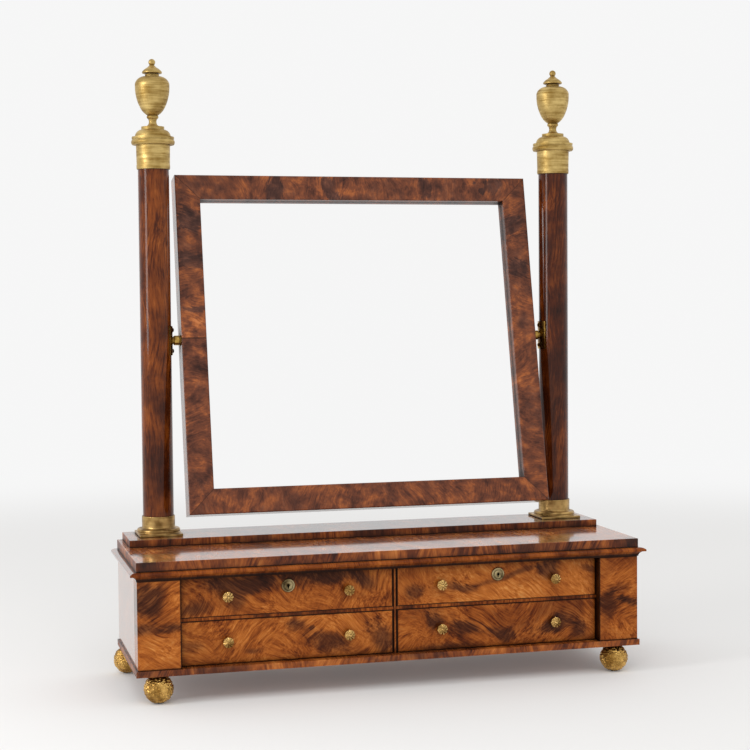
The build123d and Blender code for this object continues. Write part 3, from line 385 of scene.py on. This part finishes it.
# patches are x, z, half width, half height and depth, from the middle of the piece, or for the mirror's frame
# from the pivot; a negative depth is a light patch
casePieces = {
    "corner_block_left": {
        **block, "edges": ("right", "high"), "seed": 1.0, "lean": (42, -58), "cloud": 0.2, "tone": 0.59,
        "patches": [(-0.012, 0.036, 0.024, 0.016, 0.9), (-0.016, 0.004, 0.016, 0.010, 0.7),
                    (0.010, -0.002, 0.010, 0.008, 0.7), (0.014, 0.030, 0.012, 0.014, -0.5),
                    (0.0, -0.036, 0.026, 0.014, -0.5)]},
    "corner_block_right": {
        **block, "edges": ("left", "high"), "seed": 2.0, "lean": (48, -52), "cloud": 0.25, "tone": 0.51,
        "patches": [(-0.014, -0.002, 0.014, 0.026, 0.7), (0.014, 0.004, 0.016, 0.008, 0.9),
                    (0.0, 0.026, 0.02, 0.012, 0.5), (0.008, -0.034, 0.02, 0.014, -0.5)]},
    "drawer_upper_left_front": {
        **front, "seed": 3.0, "lean": (-34, 62), "cloud": 0.25, "tone": 0.53,
        "patches": [(-0.040, 0.010, 0.055, 0.012, 0.9), (-0.105, -0.012, 0.030, 0.010, 0.8),
                    (0.050, 0.016, 0.050, 0.008, 0.9), (-0.044, -0.006, 0.014, 0.014, 0.7),
                    (0.100, 0.014, 0.022, 0.010, 0.7), (-0.015, -0.012, 0.024, 0.010, -0.5),
                    (-0.115, 0.012, 0.018, 0.010, -0.4), (0.09, -0.014, 0.04, 0.008, -0.5)]},
    "drawer_upper_right_front": {
        **front, "seed": 4.0, "lean": (-32, -56), "cloud": 0.22, "tone": 0.66,
        "patches": [(-0.052, 0.012, 0.024, 0.008, 0.8), (-0.106, 0.006, 0.014, 0.010, 0.7),
                    (0.010, 0.018, 0.05, 0.005, 0.6), (0.062, 0.008, 0.013, 0.016, 0.9),
                    (0.112, 0.016, 0.016, 0.006, 0.6), (0.0, -0.012, 0.10, 0.010, -0.5)]},
    "drawer_lower_left_front": {
        **front, "seed": 5.0, "lean": (-30, 46), "cloud": 0.15, "tone": 0.6,
        "patches": [(0.004, 0.006, 0.016, 0.012, 0.8), (0.052, -0.008, 0.034, 0.012, 0.9),
                    (0.112, 0.006, 0.016, 0.018, 0.9), (-0.045, -0.012, 0.020, 0.004, 0.6),
                    (-0.120, -0.014, 0.012, 0.010, 0.5), (0.026, 0.002, 0.005, 0.005, 0.6),
                    (-0.075, 0.006, 0.05, 0.014, -0.5)]},
    "drawer_lower_right_front": {
        **front, "seed": 6.0, "lean": (-26, 44), "cloud": 0.4, "tone": 0.52,
        "patches": [(-0.078, 0.008, 0.016, 0.012, 0.9), (-0.034, 0.0, 0.026, 0.010, 0.9),
                    (0.008, 0.002, 0.020, 0.010, 0.9), (0.076, 0.002, 0.032, 0.013, 1.0),
                    (-0.062, -0.020, 0.05, 0.005, 0.7), (0.118, -0.008, 0.012, 0.018, 0.8),
                    (-0.108, 0.0, 0.016, 0.014, -0.4)]},
    "top_board": {**board, "edges": ("low",), "seed": 7.0, "lean": (10, -22), "tone": 0.36, "paintedTopLight": 0.20,
                  "cloud": 0.5, "sway": 0.04, "blotch": 1.1},
    "column_plank": {**board, "edges": ("low",), "seed": 8.0, "lean": (5, -5), "tone": 0.35,
                     "cloud": 0.6, "sway": 0.02, "blotch": 1.2},
    "bottom_board": {**board, "seed": 9.0, "lean": (8, -26), "tone": 0.48, "cloud": 0.6, "sway": 0.04,
                     "blotch": 1.2},
    "cornice_front": {**cornice, "grain": "across", "seed": 10.0, "lean": (4, -6), "tone": 0.42, "cloud": 0.5,
                      "sway": 0.02, "contrast": 0.8, "blotch": 1.0},
    "cornice_left": {**cornice, "grain": "y", "seed": 11.0, "tone": 0.34, "polish": "side"},
    "cornice_right": {**cornice, "grain": "y", "seed": 12.0, "tone": 0.34, "polish": "side"},
    "side_panel_left": {**endPanel, "seed": 13.0},
    "side_panel_right": {**endPanel, "seed": 14.0},
    "divider": {"grain": "z", "edges": ("left", "right"), "seed": 15.0, "tone": 0.50},
    "dust_boards": {"grain": "across", "seed": 16.0, "lean": (6, -6), "tone": 0.40, "cloud": 0.8,
                    "sway": 0.01},
    "carcass_top": {"grain": "x", "seed": 17.0, "tone": 0.30},
}
framePieces = {
    "frame_rail_top": {
        "grain": "z", "seed": 21.0, "lean": (12, -18), "cloud": 0.45,
        "patches": [(-0.140, 0.191, 0.024, 0.016, -0.9), (-0.055, 0.192, 0.011, 0.014, -0.9),
                    (-0.009, 0.196, 0.012, 0.010, -0.7), (0.075, 0.192, 0.010, 0.012, -0.7),
                    (0.152, 0.198, 0.012, 0.008, -0.8), (0.206, 0.196, 0.012, 0.016, -0.9),
                    (-0.104, 0.193, 0.014, 0.02, 0.8), (-0.029, 0.193, 0.014, 0.02, 0.8),
                    (0.093, 0.193, 0.012, 0.02, 0.6), (0.187, 0.199, 0.012, 0.010, 0.7),
                    (0.163, 0.1985, 0.0024, 0.0024, 1.4), (0.1735, 0.1915, 0.0028, 0.0028, 1.6)]},
    "frame_rail_bottom": {
        "grain": "z", "seed": 22.0, "lean": (24, -22), "cloud": 0.4,
        "patches": [(-0.18, -0.204, 0.03, 0.012, -0.6), (-0.06, -0.200, 0.03, 0.012, -0.6),
                    (0.06, -0.205, 0.03, 0.012, -0.6), (0.15, -0.200, 0.04, 0.012, -0.6)]},
    "frame_stile_left": {
        "grain": "x", "seed": 23.0, "lean": (-14, 22), "cloud": 0.45, "seam": stileSeam,
        "lines": [mitreLine, seamLine],
        "patches": [(-0.214, 0.183, 0.010, 0.014, -0.9), (-0.218, 0.127, 0.009, 0.008, -0.7),
                    (-0.211, 0.073, 0.009, 0.014, -0.9), (-0.214, 0.055, 0.012, 0.007, -0.8),
                    (-0.213, 0.018, 0.012, 0.017, -1.0), (-0.217, 0.152, 0.02, 0.016, 0.8),
                    (-0.217, 0.100, 0.02, 0.012, 0.7), (-0.217, 0.040, 0.02, 0.006, 0.7),
                    (-0.214, -0.10, 0.010, 0.018, -0.7), (-0.218, -0.16, 0.010, 0.014, -0.6)]},
    "frame_stile_right": {
        "grain": "x", "seed": 24.0, "lean": (16, -20), "cloud": 0.5,
        "patches": [(0.222, 0.168, 0.008, 0.012, -0.7), (0.216, 0.116, 0.007, 0.006, -0.5),
                    (0.213, 0.046, 0.012, 0.008, -0.7), (0.216, 0.140, 0.02, 0.016, 0.7),
                    (0.216, 0.086, 0.02, 0.012, 0.6), (0.214, -0.05, 0.012, 0.02, -0.5),
                    (0.216, -0.14, 0.012, 0.02, -0.5)]},
}
columnPieces = {"column_left": {"seed": 25.0, "tone": 0.50}, "column_right": {"seed": 26.0, "tone": 0.42}}

frameFigure = {**frameWood, "polish": "frame", "centre": tuple(pivot), "leanBack": mirrorTilt,
               "lines": [mitreLine], "tone": 0.50, "contrast": 0.75, "blotch": 1.5, "sway": 0.035,
               "wander": 16.0, "strokes": 1.5, "softScale": 60.0, "cloudScale": 28.0,
               "patchEdge": (0.7, 1.15), "sunk": (0.45, 0.9)}
columnFigure = {**columnWood, "polish": "column", "grain": "z", "lean": (3, -4), "cloud": 0.6,
                "cloudScale": 12.0, "sway": 0.03}


def dress(name, material):
    piece = nodes[name]
    piece.data.materials.clear()
    piece.data.materials.append(material)


for shared, group in ((caseWood, casePieces), (frameFigure, framePieces), (columnFigure, columnPieces)):
    for pieceName, own in group.items():
        low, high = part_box(pieceName)
        size = {"centre": tuple((low + high) / 2), "half": ((high.x - low.x) / 2, (high.z - low.z) / 2)}
        dress(pieceName, veneer(pieceName + "_veneer", {**figure, **size, **shared, **own}))
print("veneers laid")

lining, ground = [straightWood(name, look) for name, look in planedWoods.items()]
for pieceName in nodes:
    if pieceName.endswith("_box"):
        dress(pieceName, lining)
for pieceName in ("back_panel", "drawer_guide_left", "drawer_guide_right", "mirror_backboard"):
    dress(pieceName, ground)
print("linings and backs planed")

# wear that all the metals share, the rings that a lathe leaves, and hammer marks
metalWear = {"scale": 60.0, "edge": (0.34, 0.66), "height": 0.3, "dull": 0.14, "relief": 0.0004}
latheRings = [
    {"stretch": (0.04, 0.04, 1.0), "scale": 1.0, "detail": 3.0, "roughness": 0.7, "edge": (0.34, 0.64),
     "tone": 0.35, "height": 0.6},
    {"stretch": (0.25, 0.25, 1.0), "scale": 0.3, "detail": 2.0, "roughness": 0.6, "edge": (0.36, 0.64),
     "tone": 0.35, "height": 0.5},
]
hammering = {"edge": (0.35, 0.65), "tone": 0.5, "height": 1.6}
brassDirt = paint(58, 40, 16)
# the dark polish: how far it reaches out of a hollow, and how dark it is
metals = {
    "turnedBrass": {"metal": paint(216, 188, 122), "hollow": paint(134, 102, 42), "roughness": 0.40,
                    "lathe": 480.0, "bump": 0.8, "darkMask": (0.0022, 0.8), "darkening": brassDirt},
    "hammeredBrass": {"metal": paint(200, 164, 104), "hollow": paint(96, 68, 30), "roughness": 0.28,
                      "lathe": 420.0, "hammer": 75.0, "bump": 0.35, "darkMask": (0.003, 0.8), "darkening": brassDirt},
    "chasedBrass": {"metal": paint(230, 184, 104), "hollow": paint(146, 106, 48), "roughness": 0.22,
                    "bump": 0.15, "darkMask": (0.0025, 0.95), "darkening": paint(44, 27, 8)},
    "petalBrass": {"metal": paint(222, 182, 112), "hollow": paint(150, 112, 56), "roughness": 0.24,
                   "bump": 0.15, "darkMask": (0.0040, 0.95), "darkening": paint(36, 19, 5)},
    "pivotBrass": {"metal": paint(206, 170, 88), "hollow": paint(120, 86, 38), "roughness": 0.2,
                   "bump": 0.1, "darkMask": (0.002, 0.8), "darkening": brassDirt},
    "keyholeBrass": {"metal": paint(178, 160, 118), "hollow": paint(88, 72, 46), "roughness": 0.26,
                     "bump": 0.15, "darkMask": (0.0030, 0.95), "darkening": paint(30, 20, 8)},
    "lockSteel": {"metal": paint(140, 138, 132), "hollow": paint(88, 84, 78), "roughness": 0.35, "bump": 0.1},
}


def castMetal(name, look):
    # turned, hammered or plain metal with toned hollows
    f = Finish(name)
    place = f.place()
    wearAndShade = f.noise(place, metalWear["scale"], 3.0, 0.6)
    tone = f.step(wearAndShade, *metalWear["edge"])
    height = wearAndShade * metalWear["height"]
    if "lathe" in look:
        tone = tone * (1 - sum(ring["tone"] for ring in latheRings))
        for ring in latheRings:
            stretched = f.turned(place, scale=ring["stretch"])
            marks = f.noise(stretched, look["lathe"] * ring["scale"], ring["detail"], ring["roughness"])
            tone = tone + f.step(marks, *ring["edge"]) * ring["tone"]
            height = height + marks * ring["height"]
    if "hammer" in look:
        dents = f.noise(place, look["hammer"])
        tone = tone * (1 - hammering["tone"]) + f.step(dents, *hammering["edge"]) * hammering["tone"]
        height = height + dents * hammering["height"]
    colour = f.mix(tone, look["hollow"], look["metal"])
    if "darkMask" in look:
        # dark polish left in the hollows
        reach, depth = look["darkMask"]
        colour = f.mix(f.hollows(reach, 0.3, 0.9) * depth, colour, look["darkening"])
    rough = f.step(tone, 0.0, 1.0, look["roughness"] + metalWear["dull"], look["roughness"])
    normal = f.bump(height, look["bump"], metalWear["relief"])
    return f.close(colour=colour, roughness=rough, metal=1.0, normal=normal)


# silvering with one faint spot, in its upper left part, and a little foxing
silvering = {"silver": (0.99, 0.99, 0.99, 1), "wearAndShade": (0.62, 0.60, 0.57, 1), "roughness": 0.012,
             "spot": (-0.113, 0.068, 0.534), "spotReach": (0.001, 0.007), "spotDepth": 0.175,
             "foxing": 30.0, "foxingEdge": (0.72, 0.84), "foxingDepth": 0.06}


def lookingGlass():
    f = Finish("silveredGlass")
    place = f.place()
    away = f.vector("LENGTH", f.vector("SUBTRACT", place, silvering["spot"]), out=1)
    spot = f.step(away, *silvering["spotReach"], silvering["spotDepth"], 0.0)
    foxing = f.step(f.noise(place, silvering["foxing"], 3.0, 0.6), *silvering["foxingEdge"])
    colour = f.mix(spot + foxing * silvering["foxingDepth"], silvering["silver"], silvering["wearAndShade"])
    return f.close(colour=colour, roughness=silvering["roughness"], metal=1.0)


# the metal of each piece, by how its name starts
metalOf = {"capital": "turnedBrass", "urn": "turnedBrass", "column_base": "hammeredBrass",
           "foot": "chasedBrass", "pivot": "pivotBrass", "escutcheon": "keyholeBrass",
           "lock_case": "keyholeBrass", "lock_bolt": "lockSteel"}
cast = {name: castMetal(name, look) for name, look in metals.items()}
for pieceName in nodes:
    for start, metal in metalOf.items():
        if pieceName.startswith(start):
            dress(pieceName, cast[metal])
    if pieceName.endswith("_knobs"):
        dress(pieceName, cast["petalBrass"])
dress("mirror_glass", lookingGlass())
print("metals and glass done")

# softened edges on everything that was planed
arris = {"width": 0.0004, "segments": 2, "angle": 50}
planed = ("corner_block", "drawer_", "divider", "dust", "bottom", "side", "cornice", "back_panel", "carcass",
          "mirror_backboard")
for pieceName, piece in nodes.items():
    if pieceName.startswith(planed) and not pieceName.endswith("_knobs"):
        bevel = piece.modifiers.new("arris", "BEVEL")
        bevel.width = arris["width"]
        bevel.segments = arris["segments"]
        bevel.limit_method = "ANGLE"
        bevel.angle_limit = math.radians(arris["angle"])
        bevel.harden_normals = True
print("edges softened")


def addPiece(name, shape, body, material):
    mesh = bpy.data.meshes.new(name)
    shape.to_mesh(mesh)
    shape.free()
    for face in mesh.polygons:
        face.use_smooth = True
    mesh.materials.append(material)
    piece = bpy.data.objects.new(name, mesh)
    bpy.context.scene.collection.objects.link(piece)
    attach(piece, body)
    return piece


def unevenness(place):
    return 0.5 + 0.5 * noise.noise(place)


# worm-like marks chased all over the ball feet, in two sets of lines
chasing = {"spacing": 310.0, "line": 0.26, "depth": 0.0013, "second": 0.8, "secondMove": (9, 4, 2),
           "wobble": 45.0, "wobbleDepth": 0.0002, "stud": 0.003, "between": 0.37}


def chasedFoot(node, seed):
    low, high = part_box(node)
    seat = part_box("bottom_board")[0].z
    radius = (high.x - low.x) / 2
    centre = Vector(((low.x + high.x) / 2, (low.y + high.y) / 2, (low.z + seat) / 2))
    shape = bmesh.new()
    bmesh.ops.create_icosphere(shape, subdivisions=6, radius=radius)
    for vertex in shape.verts:
        outward = vertex.co.normalized()
        spot = vertex.co + Vector((seed, 0, 0))
        fine = spot * chasing["spacing"]
        crossing = fine * chasing["second"] + Vector(chasing["secondMove"])
        line = min(abs(noise.noise(fine)), abs(noise.noise(crossing)))
        cut = max(0.0, 1 - line / chasing["line"]) * chasing["depth"]
        uneven = unevenness(spot * chasing["wobble"]) * chasing["wobbleDepth"]
        place = centre + outward * (radius - cut - uneven)
        place.z = min(max(place.z, low.z), seat)
        vertex.co = place
    stud = Matrix.Translation((centre.x, centre.y, (seat + high.z) / 2))
    bmesh.ops.create_cone(shape, cap_ends=True, segments=24, radius1=chasing["stud"], radius2=chasing["stud"],
                          depth=high.z - seat, matrix=stud)
    piece = addPiece("chased_" + node, shape, "case", cast["chasedBrass"])
    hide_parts(node)


# thin cast bases, dented and worn soft
denting = {"grain": 0.0006, "dents": 70.0, "dentDepth": 0.0005, "ripples": 260.0, "rippleDepth": 0.00014,
           "rippleStretch": 0.3, "first": 2, "between": 0.41}


def dentedBase(node, seed):
    piece = bpy.data.objects.new("worn_" + node, nodes[node].data.copy())
    bpy.context.scene.collection.objects.link(piece)
    remesh = piece.modifiers.new("remesh", "REMESH")
    remesh.mode = "VOXEL"
    remesh.voxel_size = denting["grain"]
    remeshed = piece.evaluated_get(bpy.context.evaluated_depsgraph_get())
    mesh = bpy.data.meshes.new_from_object(remeshed)
    piece.modifiers.clear()
    piece.data = mesh
    normals = [vertex.normal.copy() for vertex in mesh.vertices]
    stretch = denting["rippleStretch"]
    for vertex, outward in zip(mesh.vertices, normals):
        spot = vertex.co + Vector((seed, 0, 0))
        dent = unevenness(spot * denting["dents"])
        ripple = unevenness(Vector((spot.x * stretch, spot.y * stretch, spot.z)) * denting["ripples"])
        vertex.co = vertex.co - outward * (dent * denting["dentDepth"] + ripple * denting["rippleDepth"])
    for face in mesh.polygons:
        face.use_smooth = True
    mesh.materials.clear()
    mesh.materials.append(cast["hammeredBrass"])
    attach(piece, "case")
    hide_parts(node)


tack = {"radius": 0.0017, "height": 0.0007, "sunk": 0.2, "segments": 14, "rings": 8}


def tackHead(shape, place, facing):
    # a low dome, sunk a little into the wood
    turn = facing.to_track_quat("Z", "Y").to_matrix().to_4x4()
    dome = bmesh.ops.create_uvsphere(shape, u_segments=tack["segments"], v_segments=tack["rings"],
                                     radius=tack["radius"])["verts"]
    for vertex in dome:
        vertex.co.z *= tack["height"] / tack["radius"] * (1.0 if vertex.co.z > 0 else tack["sunk"])
    bmesh.ops.transform(shape, verts=dome, matrix=Matrix.Translation(place) @ turn)


def along(low, high, count):
    return [low + (high - low) * i / (count - 1) for i in range(count)]


panelTacks = {"inset": 0.0045, "endGap": 0.012, "upright": 4, "sideGap": 0.05, "level": 9}


def backTacks():
    low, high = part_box("back_panel")
    inset, endGap, sideGap = (panelTacks[k] for k in ("inset", "endGap", "sideGap"))
    heights = along(low.z + endGap, high.z - endGap, panelTacks["upright"])
    places = along(low.x + sideGap, high.x - sideGap, panelTacks["level"])
    spots = [(x, z) for x in (low.x + inset, high.x - inset) for z in heights]
    spots += [(x, z) for z in (low.z + inset, high.z - inset) for x in places]
    shape = bmesh.new()
    for x, z in spots:
        tackHead(shape, Vector((x, high.y, z)), Vector((0, 1, 0)))
    addPiece("back_panel_tacks", shape, "case", cast["lockSteel"])


# about the pivot, with the mirror upright
backboardTacks = {"half": 0.1985, "top": 0.175, "low": -0.185, "face": 0.008, "gap": 0.04,
                  "upright": 5, "level": 6}


def mirrorTacks():
    # the backboard lies in the tilted frame, behind the glass
    lean = Matrix.Rotation(math.radians(-mirrorTilt), 4, "X")
    half, top, low, face, gap = (backboardTacks[k] for k in ("half", "top", "low", "face", "gap"))
    heights = along(low + gap, top - gap, backboardTacks["upright"])
    places = along(-half + gap, half - gap, backboardTacks["level"])
    spots = [(x, z) for x in (-half, half) for z in heights] + [(x, z) for z in (low, top) for x in places]
    shape = bmesh.new()
    for x, z in spots:
        tackHead(shape, pivot + lean @ Vector((x, face, z)), lean @ Vector((0, 1, 0)))
    addPiece("backboard_tacks", shape, "mirror", cast["lockSteel"])


lockScrew = {"radius": 0.0022, "rise": 0.0003, "slot": 0.0005, "insetX": 0.0032, "insetZ": 0.0035,
             "points": 12}


def lockScrews(side):
    low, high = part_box("lock_case_" + side)
    radius, lift = lockScrew["radius"], Vector((0, 0, lockScrew["slot"] / 2))
    shape = bmesh.new()
    for x in (low.x + lockScrew["insetX"], high.x - lockScrew["insetX"]):
        for z in (low.z + lockScrew["insetZ"], high.z - lockScrew["insetZ"]):
            angle = random.uniform(0, math.pi)
            for half in (0, math.pi):
                # two half discs leave the slot between them
                turn = Matrix.Rotation(angle + half, 3, "Y")
                rim = [Vector((math.cos(a), 0, math.sin(a))) * radius
                       for a in along(0, math.pi, lockScrew["points"])]
                rim = [turn @ (point + lift) + Vector((x, high.y, z)) for point in rim]
                face = shape.faces.new([shape.verts.new(point) for point in rim])
                pulled = bmesh.ops.extrude_face_region(shape, geom=[face])["geom"]
                for vertex in [g for g in pulled if isinstance(g, bmesh.types.BMVert)]:
                    vertex.co.y += lockScrew["rise"]
    addPiece("lock_screws_" + side, shape, "drawer_upper_" + side, cast["lockSteel"])


random.seed(5)
for number, node in enumerate(("foot_front_left", "foot_front_right", "foot_back_left", "foot_back_right")):
    chasedFoot(node, number * chasing["between"])
for number, node in enumerate(("column_base_left", "column_base_right")):
    dentedBase(node, denting["first"] + number * denting["between"])
backTacks()
mirrorTacks()
for hand in ("left", "right"):
    lockScrews(hand)
print("feet, bases and small fixings shaped")

# the lens is the focal length in pixels of a 750 pixel picture, on this sensor
camera = {"place": (-0.53433, -2.00384, 0.47050), "yaw": 15.0153, "pitch": 2.7211, "roll": -0.4902,
          "sensor": 36, "lens": 1662.77 / 750 * 36, "far": 60}


def setCamera():
    yaw, pitch, roll = (math.radians(camera[k]) for k in ("yaw", "pitch", "roll"))
    ahead = Vector((math.sin(yaw) * math.cos(pitch), math.cos(yaw) * math.cos(pitch), -math.sin(pitch)))
    right = Vector((math.cos(yaw), -math.sin(yaw), 0))
    up = right.cross(ahead)
    tiltedRight = math.cos(roll) * right + math.sin(roll) * up
    tiltedUp = math.cos(roll) * up - math.sin(roll) * right
    data = bpy.data.cameras.new("camera")
    data.lens = camera["lens"]
    data.sensor_width = camera["sensor"]
    data.clip_end = camera["far"]
    rig = bpy.data.objects.new("camera", data)
    turn = Matrix((tiltedRight, tiltedUp, -ahead)).transposed().to_4x4()
    rig.matrix_world = Matrix.Translation(camera["place"]) @ turn
    bpy.context.scene.collection.objects.link(rig)
    bpy.context.scene.camera = rig


# the floor fades into the background between these two distances; nearer in, a small share of glow is painted
# light that lifts the object's shadow
studio = {"background": (0.925, 0.925, 0.925, 1), "floor": (0.80, 0.795, 0.785, 1), "reach": 4.0,
          "squares": 40, "fade": (1.0, 2.6), "paintedGlow": 0.09}


def setFloor():
    mesh = bpy.data.meshes.new("floor")
    shape = bmesh.new()
    squares = studio["squares"]
    bmesh.ops.create_grid(shape, x_segments=squares, y_segments=squares, size=studio["reach"])
    shape.to_mesh(mesh)
    shape.free()
    piece = bpy.data.objects.new("floor", mesh)
    bpy.context.scene.collection.objects.link(piece)
    f = Finish("floorPaper")
    far = f.step(f.vector("LENGTH", f.place(), out=1), *studio["fade"])
    paper = f.node("BsdfDiffuse", None, {"Color": studio["floor"]})
    glow = f.node("Emission", None, {"Color": studio["background"], "Strength": 1.0})
    # painted light: the floor glows a little near the object as well, which lightens the shadow under it
    shader = f.node("MixShader", None, {0: f.step(far, 0.0, 1.0, studio["paintedGlow"], 1.0), 1: paper, 2: glow})
    f.node("OutputMaterial", None, {"Surface": shader})
    mesh.materials.append(f.material)


def setWorld():
    world = bpy.data.worlds.new("studio")
    bpy.context.scene.world = world
    world.use_nodes = True
    w = Wiring(world.node_tree)
    light = w.node("Background", None, {"Color": studio["background"], "Strength": 1.0})
    w.node("OutputWorld", None, {"Surface": light})


# mirrored is whether a lamp shows in the glass and the polish
lamps = {
    "left": {"place": (-1.75, -0.5, 0.92), "aim": (0, 0, 0.6), "size": (0.45, 1.15), "power": 11,
             "mirrored": True},
    "front": {"place": (-0.4, -1.9, 2.0), "aim": (0, 0, 0.15), "size": (1.6, 0.8), "power": 13,
              "mirrored": False},
}


def setLamps():
    for name, lamp in lamps.items():
        data = bpy.data.lights.new(name, "AREA")
        data.shape = "RECTANGLE"
        data.size, data.size_y = lamp["size"]
        data.energy = lamp["power"]
        light = bpy.data.objects.new(name, data)
        light.visible_glossy = lamp["mirrored"]
        aim = Vector(lamp["aim"]) - Vector(lamp["place"])
        turn = aim.to_track_quat("-Z", "Y").to_matrix().to_4x4()
        light.matrix_world = Matrix.Translation(lamp["place"]) @ turn
        bpy.context.scene.collection.objects.link(light)


setCamera()
setFloor()
setWorld()
setLamps()
bpy.context.scene.view_settings.view_transform = "Standard"
print("camera, floor and light set")
